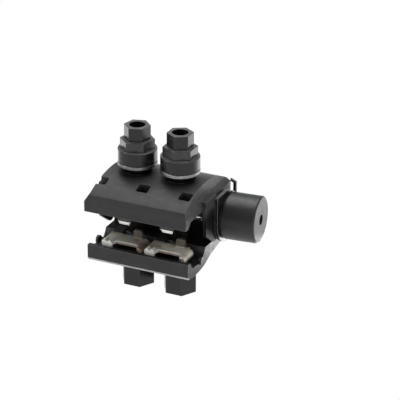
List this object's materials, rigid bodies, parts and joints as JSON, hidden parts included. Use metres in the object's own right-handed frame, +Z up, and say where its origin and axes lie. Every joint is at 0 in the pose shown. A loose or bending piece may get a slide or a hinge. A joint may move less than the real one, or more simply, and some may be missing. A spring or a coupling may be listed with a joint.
{
  "type": "insulation piercing connector",
  "caption": "Bolted insulation piercing connector: two moulded jaws with toothed contacts clamp a main and a tap cable, with shear nuts above and a rubber end cap on the tap side.",
  "frame": {"origin": "midway between the two bolt axes, on the plane of the bolt covers' undersides", "axes": "+X along the cables towards the end cap, +Y from the main side to the tap side, +Z up along the bolts towards the shear nuts"},
  "size_m": [0.0873, 0.0628, 0.0952],
  "materials": {
    "jaw_plastic": "satin moulded",
    "nut_plastic": "satin moulded",
    "black_rubber": "matte",
    "zinc_steel": "zinc plated",
    "tinned_contact": "tin plated, with brown tints"
  },
  "bodies": {
    "lower": {"lower_jaw": "jaw_plastic", "bolt_left": "zinc_steel", "bolt_right": "zinc_steel", "bolt_cover_left": "nut_plastic", "bolt_cover_right": "nut_plastic", "lower_contact_left": "tinned_contact", "lower_contact_right": "tinned_contact", "lower_main_seal": "black_rubber", "lower_tap_seal": "black_rubber"},
    "upper": {"upper_jaw": "jaw_plastic", "upper_contact_left": "tinned_contact", "upper_contact_right": "tinned_contact", "upper_main_seal": "black_rubber", "upper_tap_seal": "black_rubber", "bolt_seal_left": "black_rubber", "bolt_seal_right": "black_rubber", "washer_left": "zinc_steel", "washer_right": "zinc_steel", "cap_carrier": "nut_plastic", "end_cap": "black_rubber"},
    "nut_left": {"shear_nut_left": "nut_plastic", "nut_insert_left": "zinc_steel"},
    "nut_right": {"shear_nut_right": "nut_plastic", "nut_insert_right": "zinc_steel"}
  },
  "joints": [
    {"name": "jaw_slide", "type": "slide", "parent": "lower", "child": "upper", "axis": [0, 0, -1], "range_m": [0, 0.00875]},
    {"name": "nut_left_turn", "type": "hinge", "parent": "upper", "child": "nut_left", "pos_m": [-0.013, 0, 0.0742], "axis": [0, 0, -1], "range_deg": [0, 2520]},
    {"name": "nut_right_turn", "type": "hinge", "parent": "upper", "child": "nut_right", "pos_m": [0.013, 0, 0.0742], "axis": [0, 0, -1], "range_deg": [0, 2520]}
  ],
  "couplings": [
    {"joint": "nut_left_turn", "follows": "jaw_slide", "rad_per_m": 5026.5},
    {"joint": "nut_right_turn", "follows": "jaw_slide", "rad_per_m": 5026.5}
  ]
}
